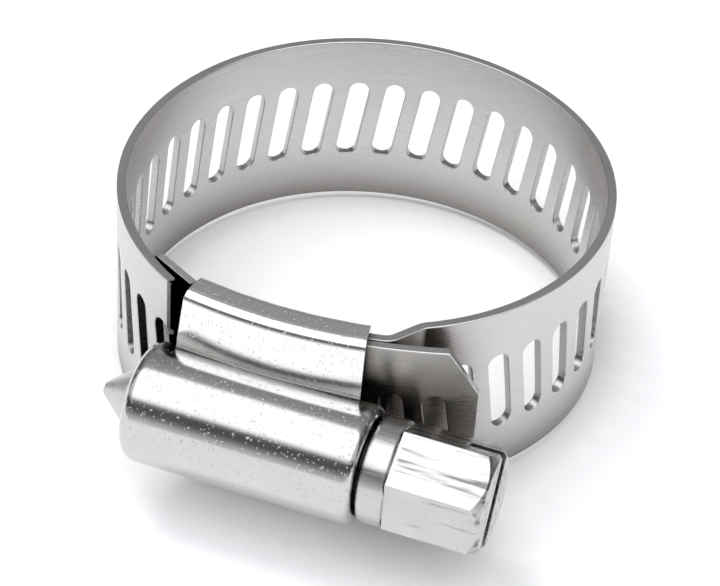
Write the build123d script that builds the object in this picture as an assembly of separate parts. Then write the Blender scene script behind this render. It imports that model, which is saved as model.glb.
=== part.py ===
"""Worm-drive hose clamp, half-inch perforated band, shown opened out to its largest hose size.

Millimetres. The origin is the centre of the hose at mid width of the band. +Z is the hose's
axis, so the clamp lies on the edge of its band. +X runs along the worm screw to its hex head,
and the screw housing is on the -Y side of the hose.
"""
import os
from math import asin, atan2, ceil, cos, degrees, hypot, pi, radians, sin, sqrt

from build123d import *
from build123d.topology import SkipClean

# band
BAND_WIDTH = 12.7
BAND_T = 0.6
PITCH = 2.54                # slot to slot along the band, and the worm's lead
SLOT_LENGTH = 6.0
SLOT_WIDTH = 1.4
SLOT_SLANT = 8.7            # degrees, which the lead of a worm of this radius asks for
JOINT_GAP = 0.10            # hairline between two neighbouring lengths of the band
OPEN_GAP = 0.35             # clearance where the closed loop of lengths is opened
LAYER_GAP = 0.06            # between the band's sliding layer and its held end
HELD_GAP = 0.03             # between the held end and the saddle
MARGIN_FROM = 3.6           # the band is plain from here to its edges

# loop
HOSE_R = 15.0
FIRST_SLOT_S = 10.0         # the held end is plain up to here
CLIP_LENGTH = 2.0           # clipped corners of the tail
CLIP_WIDTH = 3.0
FAR_END = 242.0             # polar angle, from -Y through +X, where the far arc ends
MOUTH_X = 5.6               # half length of the housing's wings
CHANNEL_R = 30.0            # mid line of the band's sliding layer in the arched housing
CHANNEL_DEPTH = 16.42       # the same line's distance from the hose axis at mid length
STEP_START_X = 6.3          # where the fixed end leaves the housing
STEP_ANGLE = 32.5           # polar angle where the fixed end has joined the loop
STEP_BEND_R = 1.0

# housing
SHEET_T = 0.5
WING_HALF = 6.9             # half width over the folded wings
FLANGE_EDGE = 3.4           # the folded flanges stop here, on each side of mid width
FLANGE_DEPTH = 14.95        # inner face of the flanges from the hose axis at mid length
BARREL_R = 3.75
BARREL_HALF = 7.4
ROOF_SINK = 0.4             # how far the sloping wing reaches into the barrel's side
ROOF_RISE = 0.8             # how much further out the wing is there than at its shoulder
TUNNEL_INSET = 0.25         # the tunnel's straight sides stand this far inside its radius
LIP_HOLE_R = 2.65
LIP_ROUND_R = 0.8
WING_CORNER_R = 0.8
FIXED_START_X = 1.6         # where the held end of the band begins, under the worm

# saddle
SADDLE_WEB = 3.3            # half width between the flanges
END_Z = 5.2
END_LENGTH = 0.45
END_GAP = 0.15              # degrees of the channel's arc between a wing's end and the saddle's wide end
TONGUE_LENGTH = 3.9
TONGUE_Z = 6.0
TONGUE_SLOPE = 29.0
TONGUE_CORNER_R = 0.8
TONGUE_GAP = 0.45           # degrees of the channel's arc between the tongue and the saddle

# worm screw
SCREW_DEPTH = 19.2
CREST_R = 3.0
ROOT_R = 2.3
TOOTH_BASE = 1.0
TOOTH_CREST = 0.55
TOOTH_SINK = 0.3            # how far the tooth reaches into the core
JOURNAL_LENGTH = 0.8
JOURNAL_R = 2.45
COLLAR_R = 3.3
COLLAR_LENGTH = 1.7
HEX_FLATS = 6.0
HEX_LENGTH = 5.8
DRIVER_SLOT_WIDTH = 1.2
DRIVER_SLOT_DEPTH = 2.2
HEX_CHAMFER = 0.6
DRIVER_SLOT_TURN = -30.0    # degrees from the band's width
COLLAR_GAP = 0.15
COLLAR_ROUND_R = 0.3
TIP_LENGTH = 2.3
TIP_FLAT_R = 0.4
THREAD_TURNS = 4.5

# lengths that the flexing loop is divided into, in slot pitches, from the worm outwards
OPEN_STATION = -1.5         # the loop is opened here, under the worm
LINK_PITCHES = (1, 1, 1, 1) + (3,) * 8
TAIL_TIP_STATION = 4.9
TIP_MARGIN = 0.6            # pitches from the last slot to the tail's tip, at least

FAR_R = HOSE_R + BAND_T / 2
CHANNEL_Y = CHANNEL_R - CHANNEL_DEPTH
CHANNEL_CENTRE = (0.0, CHANNEL_Y)
FIXED_R = CHANNEL_R - BAND_T - LAYER_GAP
FLANGE_R = CHANNEL_Y + FLANGE_DEPTH
SHOULDER_R = CHANNEL_R + BAND_T / 2 + SHEET_T
ROOF_R = SHOULDER_R + ROOF_RISE
SADDLE_TOP_R = FIXED_R - BAND_T / 2 - HELD_GAP
WING_ANGLE = degrees(asin(MOUTH_X / CHANNEL_R))
END_FROM = WING_ANGLE + END_GAP
END_TO = END_FROM + degrees(END_LENGTH / CHANNEL_R)


def unit(angle):
    return cos(angle), sin(angle)


class Bend:
    """A round stretch of the band's mid line. turn is +1 for a bend to the left, -1 to the right."""

    def __init__(self, centre, radius, start, end):
        self.centre, self.radius, self.start = centre, radius, start
        self.turn = 1 if end > start else -1
        self.length = radius * abs(end - start)

    def at(self, s, out=0.0):
        """The point at arc length s, moved out to the right of the direction of travel."""
        angle = self.start + self.turn * s / self.radius
        c, n = unit(angle)
        reach = self.radius + self.turn * out
        return self.centre[0] + reach * c, self.centre[1] + reach * n

    def heading(self, s):
        return self.start + self.turn * (s / self.radius + pi / 2)

    def edge(self, s0, s1, out):
        return ThreePointArc(self.at(s0, out), self.at((s0 + s1) / 2, out), self.at(s1, out))


class Run:
    """A straight stretch of the band's mid line."""

    def __init__(self, start, end):
        self.start = start
        self.angle = atan2(end[1] - start[1], end[0] - start[0])
        self.length = hypot(end[0] - start[0], end[1] - start[1])

    def at(self, s, out=0.0):
        c, n = unit(self.angle)
        return self.start[0] + s * c + out * n, self.start[1] + s * n - out * c

    def heading(self, s):
        return self.angle

    def edge(self, s0, s1, out):
        return Line(self.at(s0, out), self.at(s1, out))


def step_out_of_housing():
    """The S-bend that takes the fixed end from the housing's inner layer to the loop."""
    start_angle = asin(STEP_START_X / FIXED_R)
    start = FIXED_R * sin(start_angle), CHANNEL_Y - FIXED_R * cos(start_angle)
    first = start[0] - STEP_BEND_R * sin(start_angle), start[1] + STEP_BEND_R * cos(start_angle)
    joined = radians(STEP_ANGLE)
    second = (FAR_R + STEP_BEND_R) * sin(joined), -(FAR_R + STEP_BEND_R) * cos(joined)
    dx, dy = second[0] - first[0], second[1] - first[1]
    run = sqrt(dx**2 + dy**2 - (2 * STEP_BEND_R) ** 2)
    slope = atan2(dy, dx) + atan2(2 * STEP_BEND_R, run)
    first_bend = Bend(first, STEP_BEND_R, start_angle - pi / 2, slope - pi / 2)
    second_bend = Bend(second, STEP_BEND_R, slope + pi / 2, joined + pi / 2)
    return [first_bend, Run(first_bend.at(first_bend.length), second_bend.at(0)), second_bend]


def on_channel(arc_length):
    """Angle on the channel's arc at a distance along the sliding layer from mid length, towards +X."""
    return arc_length / CHANNEL_R - pi / 2


def loop_side():
    """The arc from the end of the far arc to the housing's left mouth."""
    angle = radians(FAR_END) - pi / 2
    out = unit(angle)
    joined = FAR_R * out[0], FAR_R * out[1]
    mouth_angle = on_channel((OPEN_STATION - LINK_PITCHES[0]) * PITCH)
    mouth = CHANNEL_R * cos(mouth_angle), CHANNEL_Y + CHANNEL_R * sin(mouth_angle)
    dx, dy = mouth[0] - joined[0], mouth[1] - joined[1]
    radius = -(dx**2 + dy**2) / (2 * (out[0] * dx + out[1] * dy))
    centre = joined[0] - radius * out[0], joined[1] - radius * out[1]
    end = atan2(mouth[1] - centre[1], mouth[0] - centre[0]) + 2 * pi
    return Bend(centre, radius, angle, end)


def band_path():
    """The mid line of the whole band, from its fixed end round the hose to the tip of its tail."""
    fixed_from = asin(FIXED_START_X / FIXED_R) - pi / 2
    fixed_to = asin(STEP_START_X / FIXED_R) - pi / 2
    fixed = Bend(CHANNEL_CENTRE, FIXED_R, fixed_from, fixed_to)
    far = Bend((0, 0), FAR_R, radians(STEP_ANGLE) - pi / 2, radians(FAR_END) - pi / 2)
    mouth = on_channel((OPEN_STATION - LINK_PITCHES[0]) * PITCH)
    sliding = Bend(CHANNEL_CENTRE, CHANNEL_R, mouth, on_channel(TAIL_TIP_STATION * PITCH))
    return [fixed] + step_out_of_housing() + [far, loop_side(), sliding]


PATH = band_path()
PATH_LENGTH = sum(piece.length for piece in PATH)
WORM_S = PATH_LENGTH - TAIL_TIP_STATION * PITCH     # under the middle of the worm


def locate(s):
    """The stretch of the path that holds arc length s, and the length along it."""
    for piece in PATH[:-1]:
        if s <= piece.length:
            return piece, s
        s -= piece.length
    return PATH[-1], s


def strip(s0, s1):
    """A plain length of band between two arc lengths of the path.

    Its margins keep faces of their own: they bear on the hose where the slots don't."""
    outer, inner, passed = [], [], 0.0
    for piece in PATH:
        a, b = max(s0 - passed, 0.0), min(s1 - passed, piece.length)
        passed += piece.length
        if b - a > 1e-6:
            outer.append(piece.edge(a, b, BAND_T / 2))
            inner.append(piece.edge(a, b, -BAND_T / 2))
    edges = joined_edges(outer) + joined_edges(inner)
    edges.append(Line(outer[0] @ 0, inner[0] @ 0))
    edges.append(Line(outer[-1] @ 1, inner[-1] @ 1))
    side = make_face(edges)
    margin = Pos(0, 0, MARGIN_FROM) * extrude(side, BAND_WIDTH / 2 - MARGIN_FROM)
    with SkipClean():
        return extrude(side, MARGIN_FROM, both=True) + margin + mirror(margin, about=Plane.XY)


def joined_edges(edges):
    """The edges, with a short line wherever the band's kink leaves one end apart from the next."""
    joined = [edges[0]]
    for before, after in zip(edges, edges[1:]):
        if (after @ 0 - before @ 1).length > 1e-5:
            joined.append(Line(before @ 1, after @ 0))
        joined.append(after)
    return joined


def face_plane(s):
    """Plane on the band's mid line: x along the band, y along +Z, normal away from the hose."""
    piece, along = locate(s)
    heading = piece.heading(along)
    return Plane(origin=(*piece.at(along), 0), x_dir=(*unit(heading), 0),
                 z_dir=(*unit(heading - pi / 2), 0))


def perforated(body, first, last):
    """A length of band with a slot at every whole station from first to last."""
    punch = SlotOverall(SLOT_LENGTH, SLOT_WIDTH, rotation=90 + SLOT_SLANT)
    for station in range(ceil(first), int(last // 1) + 1):
        with SkipClean():
            body -= extrude(face_plane(WORM_S + station * PITCH) * punch, 1, both=True)
    return body


def link_ends():
    """Stations of the joints between lengths of the loop, from the worm outwards."""
    ends = [OPEN_STATION]
    for pitches in LINK_PITCHES:
        ends.append(ends[-1] - pitches)
    return ends


def band_link(near, far):
    """One length of the flexing loop between two stations, near the worm and far from it."""
    near_gap = OPEN_GAP if near == OPEN_STATION else JOINT_GAP / 2
    start = WORM_S + far * PITCH + JOINT_GAP / 2
    end = WORM_S + near * PITCH - near_gap
    return perforated(strip(start, end), far + 0.5, near - 0.5)


def band_fixed_end():
    """The end of the band that the housing holds, with its step out to the loop."""
    last = link_ends()[-1]
    body = strip(0, WORM_S + last * PITCH - JOINT_GAP / 2)
    first_slot = ceil((FIRST_SLOT_S - WORM_S) / PITCH)
    return perforated(body, first_slot, last - 0.5)


def band_tail():
    """The free end of the band, with clipped corners."""
    body = strip(WORM_S + OPEN_STATION * PITCH, PATH_LENGTH)
    body = perforated(body, OPEN_STATION + 0.5, TAIL_TIP_STATION - TIP_MARGIN)
    half = BAND_WIDTH / 2
    corner = Polyline((0, half), (-CLIP_LENGTH, half), (0, half - CLIP_WIDTH), close=True)
    cutter = extrude(face_plane(PATH_LENGTH) * make_face(corner), 2, both=True)
    return body - cutter - mirror(cutter, about=Plane.XY)


def about_channel(profile, start, end):
    """A profile drawn in (distance from the channel's axis, z), swept round that axis between
    two angles in degrees that are counted from -Y towards +X."""
    face = Plane(origin=(0, CHANNEL_Y, 0), x_dir=(0, -1, 0), z_dir=(-1, 0, 0)) * profile
    axis = Axis((0, CHANNEL_Y, 0), (0, 0, 1))
    return revolve(face, axis, end - start).rotate(axis, start)


def block(r0, r1, z0, z1):
    """A rectangle in (distance from the channel's axis, z)."""
    return Pos((r0 + r1) / 2, (z0 + z1) / 2) * Rectangle(r1 - r0, z1 - z0)


def wings():
    """The sheet that slopes down from the barrel and is folded round both edges of the band."""
    roof_half = BARREL_R - ROOF_SINK
    corners = [(FLANGE_R, WING_HALF), (SHOULDER_R, WING_HALF), (ROOF_R, roof_half),
               (ROOF_R, -roof_half), (SHOULDER_R, -WING_HALF), (FLANGE_R, -WING_HALF)]
    outside = make_face(Polyline(*corners, close=True))
    inside = offset(outside, -SHEET_T, kind=Kind.INTERSECTION)
    folds = outside.vertices().filter_by(lambda v: abs(v.Y) > WING_HALF - SHEET_T)
    outside = fillet(folds, WING_CORNER_R)
    opening = block(FLANGE_R - 1, FLANGE_R + 2 * SHEET_T, -FLANGE_EDGE, FLANGE_EDGE)
    return about_channel(outside - inside - opening, -WING_ANGLE, WING_ANGLE)


def tunnel(radius, half_length):
    """Room for the screw: round about its axis and straight-sided down to the hose's side."""
    depth = SCREW_DEPTH - HOSE_R + 1
    top = Circle(radius) + Pos(0, depth / 2) * Rectangle(2 * (radius - TUNNEL_INSET), depth)
    across = Plane(origin=(0, -SCREW_DEPTH, 0), x_dir=(0, 0, -1), z_dir=(1, 0, 0))
    return extrude(across * top, half_length, both=True)


def housing():
    """Barrel and wings, stamped from one sheet."""
    barrel = Pos(0, -SCREW_DEPTH, 0) * Rot(0, 90, 0) * Cylinder(BARREL_R, 2 * BARREL_HALF)
    ends = barrel.faces().filter_by(Axis.X).edges()
    barrel = fillet(ends, LIP_ROUND_R)
    barrel -= Pos(0, CHANNEL_Y, 0) * Cylinder(ROOF_R - SHEET_T / 2, 4 * BAND_WIDTH)
    body = barrel + wings()
    body -= tunnel(BARREL_R - SHEET_T, BARREL_HALF - SHEET_T)
    return body - tunnel(LIP_HOLE_R, 2 * BARREL_HALF)


def saddle():
    """The bridge plate between the flanges, locked by its wider ends."""
    body = about_channel(block(FLANGE_R, SADDLE_TOP_R, -SADDLE_WEB, SADDLE_WEB), -END_TO, END_TO)
    for side in (-1, 1):
        start, end = sorted((side * END_FROM, side * END_TO))
        body += about_channel(block(FLANGE_R, SADDLE_TOP_R, -END_Z, END_Z), start, end)
    return body


def tongue():
    """The springy end of the saddle that lies under the band at the left mouth."""
    angle = radians(END_TO + TONGUE_GAP)
    mid = (FLANGE_R + SADDLE_TOP_R) / 2
    start = Vector(-mid * sin(angle), CHANNEL_Y - mid * cos(angle), 0)
    slope = radians(TONGUE_SLOPE)
    plane = Plane(origin=start, x_dir=(-cos(slope), sin(slope), 0), z_dir=(sin(slope), cos(slope), 0))
    outline = Pos(TONGUE_LENGTH / 2, 0) * Rectangle(TONGUE_LENGTH, 2 * TONGUE_Z)
    tip = outline.vertices().group_by(Axis.X)[-1]
    outline = fillet(tip, TONGUE_CORNER_R)
    return extrude(plane * outline, (SADDLE_TOP_R - FLANGE_R) / 2, both=True)


def thread():
    """The worm's tooth: left-handed, because the slots lean to the left."""
    half = THREAD_TURNS / 2 * PITCH
    bottom = ROOT_R - TOOTH_SINK
    path = Pos(0, 0, -half) * Helix(PITCH, 2 * half, bottom, lefthand=True)
    flank = (TOOTH_BASE - TOOTH_CREST) / 2 / (CREST_R - ROOT_R)
    base = TOOTH_BASE / 2 + TOOTH_SINK * flank
    crest = TOOTH_CREST / 2
    depth = CREST_R - bottom
    side = Polyline((0, -base), (depth, -crest), (depth, crest), (0, base), close=True)
    profile = Plane(origin=path @ 0, x_dir=(1, 0, 0), z_dir=path % 0) * make_face(side)
    tooth = sweep(profile, path=path, is_frenet=True)
    along = Plane(origin=(0, -SCREW_DEPTH, 0), x_dir=(0, 0, 1), z_dir=(1, 0, 0))
    return along * tooth


def worm_screw():
    """Pointed tip, journals, thread, collar and slotted hex head, turned from one bar."""
    tip = -BARREL_HALF - TIP_LENGTH
    collar = BARREL_HALF + COLLAR_GAP
    hexagon = collar + COLLAR_LENGTH
    journal = collar - JOURNAL_LENGTH
    step = JOURNAL_R - ROOT_R
    outline = [(tip, 0), (tip, TIP_FLAT_R), (-BARREL_HALF, ROOT_R), (journal - step, ROOT_R),
               (journal, JOURNAL_R), (collar, JOURNAL_R), (collar, COLLAR_R),
               (hexagon, COLLAR_R), (hexagon, 0)]
    core = revolve(Pos(0, -SCREW_DEPTH) * make_face(Polyline(*outline, close=True)),
                   Axis((0, -SCREW_DEPTH, 0), (1, 0, 0)))
    circles = core.edges().filter_by(GeomType.CIRCLE)
    core = fillet(circles.filter_by(lambda e: abs(e.radius - COLLAR_R) < 0.01), COLLAR_ROUND_R)
    return core + thread() + hex_head(hexagon)


def hex_head(start):
    """Hexagon with a chamfered end and a screwdriver slot across it."""
    across = Plane(origin=(start, -SCREW_DEPTH, 0), x_dir=(0, 1, 0), z_dir=(1, 0, 0))
    blank = RegularPolygon(HEX_FLATS / 2, 6, major_radius=False, rotation=30)
    head = extrude(across * blank, HEX_LENGTH)
    over_corners = Cylinder(HEX_FLATS / sqrt(3), HEX_LENGTH)
    cone = across * Pos(0, 0, HEX_LENGTH / 2) * over_corners
    cone = chamfer(cone.edges().group_by(Axis.X)[-1], HEX_CHAMFER)
    slot = Pos(0, 0, HEX_LENGTH) * Rot(0, 0, DRIVER_SLOT_TURN)
    slot *= Box(DRIVER_SLOT_WIDTH, 3 * HEX_FLATS, 2 * DRIVER_SLOT_DEPTH)
    return (head & cone) - across * slot


def parts():
    pieces = {
        "housing": housing(),
        "saddle": saddle(),
        "saddle_tongue": tongue(),
        "worm_screw": worm_screw(),
        "band_fixed_end": band_fixed_end(),
        "band_tail": band_tail(),
    }
    ends = link_ends()
    for number, (near, far) in enumerate(zip(ends, ends[1:]), 1):
        pieces[f"band_link_{number:02d}"] = band_link(near, far)
    return pieces


if __name__ == "__main__":
    os.makedirs("parts", exist_ok=True)
    for name, solid in parts().items():
        export_step(solid.solid(), f"parts/{name}.step")
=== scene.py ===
"""A worm-drive hose clamp of stainless steel, lying on the edge of its band on a pale studio floor.

The band is one smooth perforated strip, built here along the same mid line as the CAD lengths that
it stands for. Housing, saddle and screw are the CAD's own solids. Everything is in metres.
"""

from math import asin, atan2, ceil, cos, floor, pi, radians, sin, sqrt

import bpy
from mathutils import Matrix, Vector
from mathutils.geometry import delaunay_2d_cdt

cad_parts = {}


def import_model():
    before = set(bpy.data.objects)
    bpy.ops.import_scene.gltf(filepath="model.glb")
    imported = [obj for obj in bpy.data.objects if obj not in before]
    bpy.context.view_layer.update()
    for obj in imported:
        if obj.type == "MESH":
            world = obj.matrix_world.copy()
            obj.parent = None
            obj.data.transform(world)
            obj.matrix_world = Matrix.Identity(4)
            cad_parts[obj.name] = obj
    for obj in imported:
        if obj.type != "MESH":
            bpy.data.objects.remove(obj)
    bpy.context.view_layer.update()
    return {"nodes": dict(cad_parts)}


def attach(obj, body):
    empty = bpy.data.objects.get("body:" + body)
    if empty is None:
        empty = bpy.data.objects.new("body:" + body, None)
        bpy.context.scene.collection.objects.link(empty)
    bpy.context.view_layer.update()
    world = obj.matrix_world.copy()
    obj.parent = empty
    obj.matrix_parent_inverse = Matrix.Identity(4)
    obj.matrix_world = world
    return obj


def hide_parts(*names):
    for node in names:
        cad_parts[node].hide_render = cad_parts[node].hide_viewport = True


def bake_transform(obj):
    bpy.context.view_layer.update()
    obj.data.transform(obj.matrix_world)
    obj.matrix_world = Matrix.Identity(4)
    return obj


MM = 0.001

# the strip
BAND_WIDTH = 12.7 * MM
BAND_T = 0.6 * MM
PITCH = 2.54 * MM
SLOT_LENGTH = 6.0 * MM
SLOT_WIDTH = 1.4 * MM
SLOT_SLANT = radians(8.7)
EDGE_ROUND = 0.09 * MM
CLIP_LENGTH = 2.0 * MM
CLIP_WIDTH = 3.0 * MM

# its mid line, as in the CAD source
LOOP_R = 15.3 * MM
FAR_END = radians(242.0)
CHANNEL_R = 30.0 * MM
CHANNEL_DEPTH = 16.42 * MM
LAYER_GAP = 0.06 * MM
FIXED_START_X = 1.6 * MM
STEP_START_X = 6.3 * MM
STEP_ANGLE = radians(32.5)
STEP_BEND_R = 1.0 * MM
CHANNEL_Y = CHANNEL_R - CHANNEL_DEPTH
FIXED_R = CHANNEL_R - BAND_T - LAYER_GAP
MOUTH_STATION = -2.5
TIP_STATION = 4.9
TIP_MARGIN = 0.6             # slot pitches from the last slot to the tail's tip, at least
HELD_END_STATION = -30.5
OPEN_STATION = -1.5          # the tail starts here, under the worm
FIRST_SLOT_S = 10.0 * MM
MOUTH_SMOOTHING = 1.6 * MM

# mesh
GRID = 0.3 * MM
ROUND_STEPS = 3
SLOT_STEPS = 10
SIDE_STEPS = 8               # along a slot's straight side, and across the tail's tip

# where the colours change: the painted highlight on the wings, and the hexagon's streaks
WING_HIGHLIGHT_FROM_Z = 4.0 * MM       # the painted highlight on the folded wings starts here, beside the barrel
WING_HIGHLIGHT_FULL_Z = 4.4 * MM
HEAD_X = 9.3 * MM            # the screw's hexagon starts here
HEAD_FULL_X = HEAD_X + 0.3 * MM
NOISE_RANGE = (0.3, 0.7)     # most of a noise texture's values lie between these

# stage
FLOOR_Z = -6.91 * MM
FLOOR_HALF = 1.5
SURROUND_STRENGTH = 2.2
CAMERA_AT = (40.18, -124.16, 101.58)
CAMERA_TOWARDS = (1.12, -4.25, 0.0)
CAMERA_ROLL = radians(4.07)
CAMERA_LENS = 126.8
SENSOR_WIDTH = 36.0


def unit(angle):
    return Vector((cos(angle), sin(angle)))


class Arc:
    """A stretch of the mid line that bends at a fixed radius, or runs straight if turn is 0."""

    def __init__(self, start, heading, length, turn):
        self.start, self.heading, self.length, self.turn = Vector(start), heading, length, turn

    def at(self, s):
        """The point at arc length s, and the heading there."""
        if self.turn == 0:
            return self.start + s * unit(self.heading), self.heading
        heading = self.heading + s * self.turn
        swept = Vector((sin(heading) - sin(self.heading), cos(self.heading) - cos(heading)))
        return self.start + swept / self.turn, heading


def arc_about(centre, radius, start, end):
    """An arc round a centre between two angles, anticlockwise if end is larger."""
    way = 1 if end > start else -1
    point = Vector(centre) + radius * unit(start)
    return Arc(point, start + way * pi / 2, radius * abs(end - start), way / radius)


def step_out():
    """The S-bend that takes the held end from the housing to the loop."""
    angle = asin(STEP_START_X / FIXED_R)
    start = Vector((FIXED_R * sin(angle), CHANNEL_Y - FIXED_R * cos(angle)))
    first = start + STEP_BEND_R * Vector((-sin(angle), cos(angle)))
    second = (LOOP_R + STEP_BEND_R) * Vector((sin(STEP_ANGLE), -cos(STEP_ANGLE)))
    gap = second - first
    run = sqrt(gap.length_squared - (2 * STEP_BEND_R) ** 2)
    slope = atan2(gap.y, gap.x) + atan2(2 * STEP_BEND_R, run)
    bend_in = arc_about(first, STEP_BEND_R, angle - pi / 2, slope - pi / 2)
    bend_out = arc_about(second, STEP_BEND_R, slope + pi / 2, STEP_ANGLE + pi / 2)
    return [bend_in, Arc(bend_in.at(bend_in.length)[0], slope, run, 0), bend_out]


def on_channel(arc_length):
    return arc_length / CHANNEL_R - pi / 2


def loop_side():
    """The arc from the end of the far arc to the housing's left mouth."""
    out = unit(FAR_END - pi / 2)
    joined = LOOP_R * out
    mouth = Vector((0, CHANNEL_Y)) + CHANNEL_R * unit(on_channel(MOUTH_STATION * PITCH))
    gap = mouth - joined
    radius = -gap.length_squared / (2 * out.dot(gap))
    centre = joined - radius * out
    end = atan2(mouth.y - centre.y, mouth.x - centre.x) + 2 * pi
    return arc_about(centre, radius, FAR_END - pi / 2, end)


def band_path():
    fixed = arc_about((0, CHANNEL_Y), FIXED_R, asin(FIXED_START_X / FIXED_R) - pi / 2,
                      asin(STEP_START_X / FIXED_R) - pi / 2)
    far = arc_about((0, 0), LOOP_R, STEP_ANGLE - pi / 2, FAR_END - pi / 2)
    sliding = arc_about((0, CHANNEL_Y), CHANNEL_R, on_channel(MOUTH_STATION * PITCH),
                        on_channel(TIP_STATION * PITCH))
    return [fixed] + step_out() + [far, loop_side(), sliding]


PATH = band_path()
PATH_LENGTH = sum(piece.length for piece in PATH)
WORM_S = PATH_LENGTH - TIP_STATION * PITCH
MOUTH_S = WORM_S + MOUTH_STATION * PITCH


def on_path(s):
    for piece in PATH[:-1]:
        if s <= piece.length:
            return piece.at(s)
        s -= piece.length
    return PATH[-1].at(s)


def mid_line(s):
    """Point and heading of the mid line, with the kink at the mouth eased into a short bend."""
    point, heading = on_path(s)
    reach = MOUTH_SMOOTHING - abs(s - MOUTH_S)
    if reach <= 0:
        return point, heading
    before, heading_before = on_path(s - reach)
    after, heading_after = on_path(s + reach)
    return (before + 2 * point + after) / 4, (heading_before + heading_after) / 2


def place(s, z, out):
    """Row-frame point at arc length s, height z and distance out from the mid line."""
    point, heading = mid_line(s)
    return Vector((point.x + out * sin(heading), point.y - out * cos(heading), z))


def station(number):
    return WORM_S + number * PITCH


def slot_outline(s):
    """Outline of one slot on the flat strip, with the direction into the slot at each point."""
    half = (SLOT_LENGTH - SLOT_WIDTH) / 2
    radius = SLOT_WIDTH / 2 + EDGE_ROUND
    axis = Vector((-sin(SLOT_SLANT), cos(SLOT_SLANT)))
    points = []
    for end in (1, -1):
        for i in range(SLOT_STEPS + 1):
            away = unit(SLOT_SLANT + pi * i / SLOT_STEPS + (0 if end > 0 else pi))
            points.append((Vector((s, 0)) + end * half * axis + radius * away, -away))
        start = Vector((s, 0)) + end * half * axis + radius * away
        for i in range(1, SIDE_STEPS):
            points.append((start - end * axis * (2 * half * i / SIDE_STEPS), -away))
    return points


def side_outline(s0, s1, tip):
    """Outline of a length of the flat strip, with the outward direction at each point.

    The cut ends have no outward direction: they meet their neighbours and stay square."""
    half = BAND_WIDTH / 2 - EDGE_ROUND
    steps = ceil((s1 - s0) / GRID)
    flat_end = s1 - (CLIP_LENGTH if tip else 0)
    along = [s0 + (flat_end - s0) * i / steps for i in range(steps + 1)]
    rows = ceil(BAND_WIDTH / GRID / 2)
    points = [(Vector((s, -half)), Vector((0, -1))) for s in along]
    if tip:
        end = s1 - EDGE_ROUND
        low = half - CLIP_WIDTH
        slope = Vector((CLIP_WIDTH, -CLIP_LENGTH)).normalized()
        ahead = Vector((1, 0))
        mirrored = Vector((slope.x, -slope.y))
        points += [(Vector((end, -low)), (slope + ahead).normalized())]
        points += [(Vector((end, -low + 2 * low * i / SIDE_STEPS)), ahead)
                   for i in range(1, SIDE_STEPS)]
        points += [(Vector((end, low)), (mirrored + ahead).normalized())]
    else:
        points += [(Vector((s1, -half + 2 * half * i / rows)), Vector((0, 0))) for i in range(1, rows)]
    points += [(Vector((s, half)), Vector((0, 1))) for s in reversed(along)]
    points += [(Vector((s0, half - 2 * half * i / rows)), Vector((0, 0))) for i in range(1, rows)]
    return points


def inside(point, outline):
    """Whether a flat point lies inside a closed outline."""
    hit = False
    for (a, _), (b, _) in zip(outline, outline[1:] + outline[:1]):
        if (a.y > point.y) != (b.y > point.y):
            if point.x < a.x + (b.x - a.x) * (point.y - a.y) / (b.y - a.y):
                hit = not hit
    return hit


def flat_triangles(outline, slots, s0, s1):
    """Triangles over the strip between its outline and its slots, and the rim points' directions."""
    points, edges, away = [], [], {}
    for loop in [outline] + slots:
        first = len(points)
        for i, (point, direction) in enumerate(loop):
            away[len(points)] = direction
            edges.append((first + i, first + (i + 1) % len(loop)))
            points.append(point)
    columns = ceil((s1 - s0) / GRID)
    rows = ceil(BAND_WIDTH / GRID / 2)
    for i in range(1, columns):
        for j in range(1, rows):
            point = Vector((s0 + (s1 - s0) * i / columns, BAND_WIDTH * (j / rows - 0.5)))
            near = min((point - rim).length for rim in points[:len(away)])
            if near > GRID / 2 and inside(point, outline) and not any(inside(point, h) for h in slots):
                points.append(point)
    made, _, faces, origin, _, _ = delaunay_2d_cdt(points, edges, [], 0, 1e-9)
    direction = {i: away[o[0]] for i, o in enumerate(origin) if o and o[0] in away}
    kept = []
    for face in faces:
        centre = sum((made[i] for i in face), Vector((0, 0))) / 3
        if inside(centre, outline) and not any(inside(centre, h) for h in slots):
            a, b, c = (made[i] for i in face)
            turned = (b - a).cross(c - a) < 0
            kept.append(tuple(reversed(face)) if turned else tuple(face))
    return made, kept, direction


def rim_levels():
    """Round the rim from the outer side to the inner: how far out from the rim's start, distance
    from the mid line, and the normal's angle from the outer side's."""
    levels = []
    for i in range(ROUND_STEPS + 1):
        angle = pi / 2 * i / ROUND_STEPS
        levels.append((EDGE_ROUND * sin(angle), BAND_T / 2 - EDGE_ROUND * (1 - cos(angle)), angle))
    return levels + [(side, -out, pi - angle) for side, out, angle in reversed(levels)]


def slots_between(first, last, tip):
    low = (FIRST_SLOT_S - WORM_S) / PITCH if first is None else first
    high = TIP_STATION - TIP_MARGIN if tip else last
    return [slot_outline(station(n)) for n in range(ceil(low), floor(high) + 1)]


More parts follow.
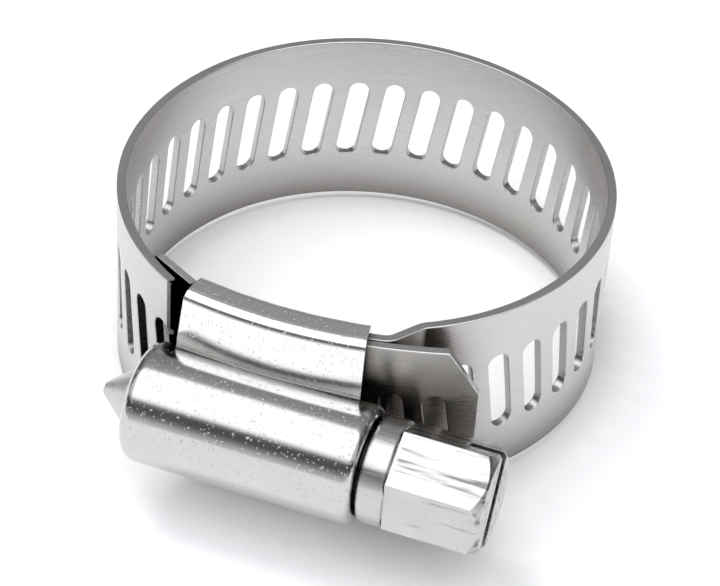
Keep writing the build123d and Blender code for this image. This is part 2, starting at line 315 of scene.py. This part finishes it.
def strip_mesh(name, first, last, tip=False):
    """A length of the band between two stations, or from its held end if first is None.

    The flat strip is bent along the mid line. Its two sides share the triangles, and a rounded
    rim joins them round the outline and the slots."""
    s0 = 0.0 if first is None else station(first)
    s1 = PATH_LENGTH if tip else station(last)
    outline = side_outline(s0, s1, tip)
    flat, triangles, direction = flat_triangles(outline, slots_between(first, last, tip), s0, s1)
    levels = rim_levels()
    co, normals, wear, uv, faces = [], [], [], [], []

    def add(p, side, out, angle, away):
        q = p + side * away
        heading = mid_line(q.x)[1]
        n = Vector((sin(heading), -cos(heading), 0)) * cos(angle)
        n += (Vector((cos(heading), sin(heading), 0)) * away.x + Vector((0, 0, 1)) * away.y) * sin(angle)
        co.append(place(q.x, q.y, out))
        normals.append(n.normalized() if n.length > 1e-6 else Vector((0, 0, 1)))
        wear.append(sin(angle) if away.length > 0 else 0.0)
        uv.append((q.x, q.y))
        return len(co) - 1

    still = Vector((0, 0))
    outer = [add(p, 0, BAND_T / 2, 0, still) for p in flat]
    inner = [add(p, 0, -BAND_T / 2, pi, still) for p in flat]
    for a, b, c in triangles:
        faces.append((outer[a], outer[b], outer[c]))
        faces.append((inner[c], inner[b], inner[a]))
    edges = dict.fromkeys((a, b) for t in triangles for a, b in zip(t, t[1:] + t[:1]))
    ring = {}
    for a, b in [edge for edge in edges if (edge[1], edge[0]) not in edges]:
        for i in (a, b):
            if i not in ring:
                away = direction.get(i, still)
                middle = [add(flat[i], side, out, angle, away) for side, out, angle in levels[1:-1]]
                ring[i] = [outer[i]] + middle + [inner[i]]
        for k in range(len(levels) - 1):
            faces.append((ring[a][k], ring[a][k + 1], ring[b][k + 1], ring[b][k]))
    return mesh_object(name, co, faces, normals, uv, wear)


def mesh_object(name, co, faces, normals, uv, wear):
    mesh = bpy.data.meshes.new(name)
    mesh.from_pydata([tuple(v) for v in co], [], faces)
    for polygon in mesh.polygons:
        polygon.use_smooth = True
    layer = mesh.uv_layers.new(name="strip")
    for loop in mesh.loops:
        layer.data[loop.index].uv = uv[loop.vertex_index]
    attribute = mesh.attributes.new("rim", "FLOAT", "POINT")
    attribute.data.foreach_set("value", wear)
    mesh.normals_split_custom_set_from_vertices([tuple(n) for n in normals])
    obj = bpy.data.objects.new(name, mesh)
    bpy.context.scene.collection.objects.link(obj)
    return obj


def link(number):
    return f"band_link_{number:02d}"


def band(material):
    """The whole band: held end, ten lengths in place of the CAD links and the free tail."""
    held = strip_mesh("band_held_end", None, HELD_END_STATION)
    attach(held, "housing")
    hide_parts("band_fixed_end")
    made = [held]
    hinge = HELD_END_STATION + 1
    for number in range(12, 5, -1):
        made.append(bending_length(hinge - 1, hinge + 2, hinge, link(number)))
        hinge += 3
    made.append(bending_length(-9.5, -5.5, -8.5, link(5)))
    for number in (3, 1):
        hinge = -number - 1.5
        piece = bending_length(hinge - 1, hinge + 1, hinge, link(number))
        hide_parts(link(number + 1))
        made.append(piece)
    tail = strip_mesh("band_free_tail", OPEN_STATION, None, tip=True)
    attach(tail, "band_tail")
    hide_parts("band_tail")
    for piece in made + [tail]:
        piece.data.materials.append(material)


def bending_length(first, last, hinge, after):
    """A length of the band between two stations, built at rest in place of a CAD link, which it hides.
    """
    piece = strip_mesh(after.replace("link", "length"), first, last)
    place(station(hinge - 1), 0, 0)
    place(station(hinge + 1), 0, 0)
    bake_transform(piece)
    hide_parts(after)
    return piece


class Nodes:
    """Shorthand for building a material's nodes."""

    def __init__(self, tree):
        self.tree = tree
        tree.nodes.clear()

    def add(self, kind, inputs=(), **settings):
        node = self.tree.nodes.new(kind)
        for key, value in settings.items():
            setattr(node, key, value)
        for key, value in dict(inputs).items():
            if isinstance(value, bpy.types.NodeSocket):
                self.tree.links.new(value, node.inputs[key])
            else:
                node.inputs[key].default_value = value
        return node

    def noise(self, vector, scale, detail=3.0, roughness=0.55):
        return self.add("ShaderNodeTexNoise", {"Vector": vector, "Scale": scale, "Detail": detail,
                                               "Roughness": roughness}).outputs["Fac"]

    def stretch(self, vector, scale):
        return self.add("ShaderNodeMapping", {"Vector": vector, "Scale": scale}).outputs["Vector"]

    def between(self, value, low, high, to_low=0.0, to_high=1.0):
        return self.add("ShaderNodeMapRange", {"Value": value, "From Min": low, "From Max": high,
                                               "To Min": to_low, "To Max": to_high}).outputs["Result"]

    def math(self, operation, a, b=0.0):
        return self.add("ShaderNodeMath", {0: a, 1: b}, operation=operation).outputs[0]

    def mix(self, factor, a, b):
        node = self.add("ShaderNodeMix", data_type="RGBA")
        for socket, value in ((0, factor), (6, a), (7, b)):
            if isinstance(value, bpy.types.NodeSocket):
                self.tree.links.new(value, node.inputs[socket])
            else:
                node.inputs[socket].default_value = value
        return node.outputs[2]

    def bump(self, height, distance, strength=1.0, normal=None):
        inputs = {"Height": height, "Distance": distance, "Strength": strength}
        if normal is not None:
            inputs["Normal"] = normal
        return self.add("ShaderNodeBump", inputs).outputs["Normal"]


def grey(value, warmth=0.0):
    return value * (1 + warmth), value, value * (1 - warmth), 1.0


def new_material(name):
    material = bpy.data.materials.new(name)
    material.use_nodes = True
    return material, Nodes(material.node_tree)


def metal(n, colour, roughness, normal):
    shader = n.add("ShaderNodeBsdfPrincipled", {"Base Color": colour, "Metallic": 1.0,
                                                "Roughness": roughness, "Normal": normal})
    n.add("ShaderNodeOutputMaterial", {"Surface": shader.outputs[0]})


def painted_crevice_shade(n, colour, reach=3.0 * MM, closed=0.15, clear=0.75):
    """The colour, with painted shade: darker in crevices, where little of the sky within reach is open.

    It is darkest where only the share called closed of the sky within reach is open."""
    # painted shade: a dark warm grey is mixed in where the ambient occlusion is low
    open_sky = n.add("ShaderNodeAmbientOcclusion", {"Distance": reach}, samples=6).outputs["AO"]
    return n.mix(n.between(open_sky, closed, clear, 0.0, 1.0), grey(0.10, 0.12), colour)


def band_steel():
    """Cold-rolled strip: satin, with fine lines along its length and bright punched rims."""
    material, n = new_material("band_steel")
    flat = n.add("ShaderNodeUVMap", uv_map="strip").outputs["UV"]
    lines = n.noise(n.stretch(flat, (150, 9000, 1)), 1.0, 4)
    cloud = n.noise(n.stretch(flat, (90, 220, 1)), 1.0, 2)
    grain = n.noise(n.stretch(flat, (5000, 9000, 1)), 1.0, 2)
    rim = n.add("ShaderNodeAttribute", attribute_name="rim").outputs["Fac"]
    colour = n.mix(cloud, grey(0.52, 0.035), grey(0.61, 0.025))
    colour = n.mix(n.between(rim, 0.2, 1.0, 0, 0.4), colour, grey(0.72, 0.01))
    # painted shade in the band's crevices
    colour = painted_crevice_shade(n, colour, 5.0 * MM, 0.45, 0.9)
    rough = n.math("ADD", n.between(lines, *NOISE_RANGE, 0.22, 0.34),
                   n.between(cloud, *NOISE_RANGE, 0.0, 0.05))
    normal = n.bump(lines, 0.004 * MM, 0.6)
    normal = n.bump(grain, 0.002 * MM, 0.5, normal)
    metal(n, colour, rough, normal)
    return material


def rounded(n, radius):
    """The surface's normal, rounded over at edges, and how near an edge it is."""
    bevel = n.add("ShaderNodeBevel", {"Radius": radius}, samples=6).outputs["Normal"]
    true = n.add("ShaderNodeNewGeometry").outputs["Normal"]
    same = n.add("ShaderNodeVectorMath", {0: bevel, 1: true}, operation="DOT_PRODUCT").outputs["Value"]
    return bevel, n.between(same, 0.97, 0.75, 0, 1)


def housing_steel():
    """Bright stamped sheet: smooth, with specks, fine lines, worn edges and a painted highlight on the
    wings.
    """
    material, n = new_material("housing_steel")
    place_in = n.add("ShaderNodeTexCoord").outputs["Object"]
    bevel, edge = rounded(n, 0.10 * MM)
    specks = n.between(n.noise(place_in, 5200, 1), 0.66, 0.72)
    ripple = n.noise(n.stretch(place_in, (160, 420, 420)), 1.0, 2)
    lines = n.noise(n.stretch(place_in, (250, 6000, 6000)), 1.0, 4)
    colour = n.mix(ripple, grey(0.52, 0.012), grey(0.60, 0.012))
    # painted highlight: the wings are made lighter to stand in for the bright light they mirror
    height = n.add("ShaderNodeSeparateXYZ", {"Vector": place_in}).outputs["Z"]
    painted_wing_highlight = n.between(n.math("ABSOLUTE", height), WING_HIGHLIGHT_FROM_Z, WING_HIGHLIGHT_FULL_Z)
    colour = n.mix(painted_wing_highlight, colour, grey(0.86, 0.0))
    colour = n.mix(n.math("MULTIPLY", edge, 0.7), colour, grey(0.80, 0.01))
    # painted shade in the housing's crevices
    colour = painted_crevice_shade(n, colour)
    rough = n.between(lines, *NOISE_RANGE, 0.12, 0.18)
    normal = n.bump(ripple, 0.03 * MM, 0.35, bevel)
    normal = n.bump(specks, 0.02 * MM, 0.9, normal)
    normal = n.bump(lines, 0.001 * MM, 0.3, normal)
    metal(n, colour, rough, normal)
    return material


def screw_steel():
    """Drawn and turned bar: dark streaks along the hexagon, worn corners."""
    material, n = new_material("screw_steel")
    place_in = n.add("ShaderNodeTexCoord").outputs["Object"]
    bevel, edge = rounded(n, 0.12 * MM)
    drawn = n.noise(n.stretch(place_in, (220, 2600, 2600)), 1.0, 4)
    cloud = n.noise(place_in, 420, 3)
    colour = n.mix(cloud, grey(0.46, 0.02), grey(0.60, 0.012))
    streaks = n.between(n.noise(n.stretch(place_in, (150, 1900, 1900)), 1.0, 3), 0.54, 0.66)
    along = n.add("ShaderNodeSeparateXYZ", {"Vector": place_in}).outputs["X"]
    on_head = n.between(along, HEAD_X, HEAD_FULL_X)
    colour = n.mix(n.math("MULTIPLY", streaks, on_head), colour, grey(0.16, 0.03))
    colour = n.mix(n.math("MULTIPLY", edge, 0.7), colour, grey(0.78, 0.01))
    # painted shade in the screw's crevices
    colour = painted_crevice_shade(n, colour)
    rough = n.between(drawn, *NOISE_RANGE, 0.20, 0.34)
    normal = n.bump(drawn, 0.03 * MM, 0.6, bevel)
    normal = n.bump(cloud, 0.02 * MM, 0.3, normal)
    metal(n, colour, rough, normal)
    return material


def finish_cad(frame, names, material):
    for name in names:
        node = frame["nodes"][name]
        node.data.materials.clear()
        node.data.materials.append(material)


def floor_sheet():
    """Pale, slightly cool paper."""
    half = FLOOR_HALF
    mesh = bpy.data.meshes.new("floor")
    mesh.from_pydata([(-half, -half, 0), (half, -half, 0), (half, half, 0), (-half, half, 0)],
                     [], [(0, 1, 2, 3)])
    sheet = bpy.data.objects.new("floor", mesh)
    sheet.location.z = FLOOR_Z
    bpy.context.scene.collection.objects.link(sheet)
    material, n = new_material("paper")
    fibre = n.noise(n.add("ShaderNodeTexCoord").outputs["Object"], 900, 3)
    shader = n.add("ShaderNodeBsdfPrincipled", {
        "Base Color": n.mix(fibre, (0.77, 0.772, 0.785, 1), (0.80, 0.802, 0.815, 1)),
        "Roughness": 0.75, "Specular IOR Level": 0.3})
    n.add("ShaderNodeOutputMaterial", {"Surface": shader.outputs[0]})
    mesh.materials.append(material)


def studio_surround():
    """What the metal mirrors: a softbox from high in front to just behind overhead, dark below it
    in front and dark behind.

    A stop is how far round from the front horizon over the top, as a share of half a turn, and
    how bright it is there."""
    world = bpy.data.worlds.new("studio")
    bpy.context.scene.world = world
    world.use_nodes = True
    n = Nodes(world.node_tree)
    ray = n.add("ShaderNodeTexCoord").outputs["Generated"]
    parts = n.add("ShaderNodeSeparateXYZ", {"Vector": ray})
    front = n.math("MULTIPLY", parts.outputs["Y"], -1.0)
    angle = n.math("DIVIDE", n.math("ARCTAN2", parts.outputs["Z"], front), pi)
    ramp = n.add("ShaderNodeValToRGB", {"Fac": angle})
    ramp.color_ramp.interpolation = "EASE"
    stops = ((0.0, 0.32), (0.03, 0.30), (0.09, 0.10), (0.12, 0.05), (0.19, 0.05), (0.25, 0.8),
             (0.28, 1.0), (0.53, 1.0), (0.59, 0.20), (0.75, 0.14), (0.90, 0.12), (1.0, 0.16))
    elements = ramp.color_ramp.elements
    while len(elements) < len(stops):
        elements.new(0.5)
    for element, (position, value) in zip(elements, stops):
        element.position = position
        element.color = grey(value, -0.01)
    side = n.between(n.math("ABSOLUTE", parts.outputs["X"]), 0.55, 0.85, 1.0, 0.35)
    strength = n.math("MULTIPLY", side, SURROUND_STRENGTH)
    shader = n.add("ShaderNodeBackground", {"Color": ramp.outputs["Color"], "Strength": strength})
    n.add("ShaderNodeOutputWorld", {"Surface": shader.outputs[0]})


def area_light(name, place_at, size, power):
    """A square light facing the clamp, which the metal doesn't mirror."""
    data = bpy.data.lights.new(name, "AREA")
    data.size = size
    data.energy = power
    light = bpy.data.objects.new(name, data)
    light.location = place_at
    light.rotation_euler = (-Vector(place_at)).to_track_quat("-Z", "Y").to_euler()
    light.visible_glossy = False
    bpy.context.scene.collection.objects.link(light)


def lights():
    area_light("key", (-0.35, 0.10, 0.80), 0.35, 3.0)
    area_light("fill", (0.10, -0.80, 0.35), 0.80, 5.0)


def camera():
    data = bpy.data.cameras.new("camera")
    data.sensor_width = SENSOR_WIDTH
    data.lens = CAMERA_LENS
    data.clip_start, data.clip_end = 0.01, 20
    view = bpy.data.objects.new("camera", data)
    view.location = Vector(CAMERA_AT) * MM
    towards = Vector(CAMERA_TOWARDS) * MM - view.location
    level = towards.to_track_quat("-Z", "Y").to_matrix()
    view.rotation_euler = (level @ Matrix.Rotation(CAMERA_ROLL, 3, "Z")).to_euler()
    bpy.context.scene.collection.objects.link(view)
    bpy.context.scene.camera = view


def main():
    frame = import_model()
    band(band_steel())
    finish_cad(frame, ("housing", "saddle", "saddle_tongue"), housing_steel())
    finish_cad(frame, ("worm_screw",), screw_steel())
    floor_sheet()
    studio_surround()
    lights()
    camera()
    bpy.context.scene.view_settings.view_transform = "Standard"


main()
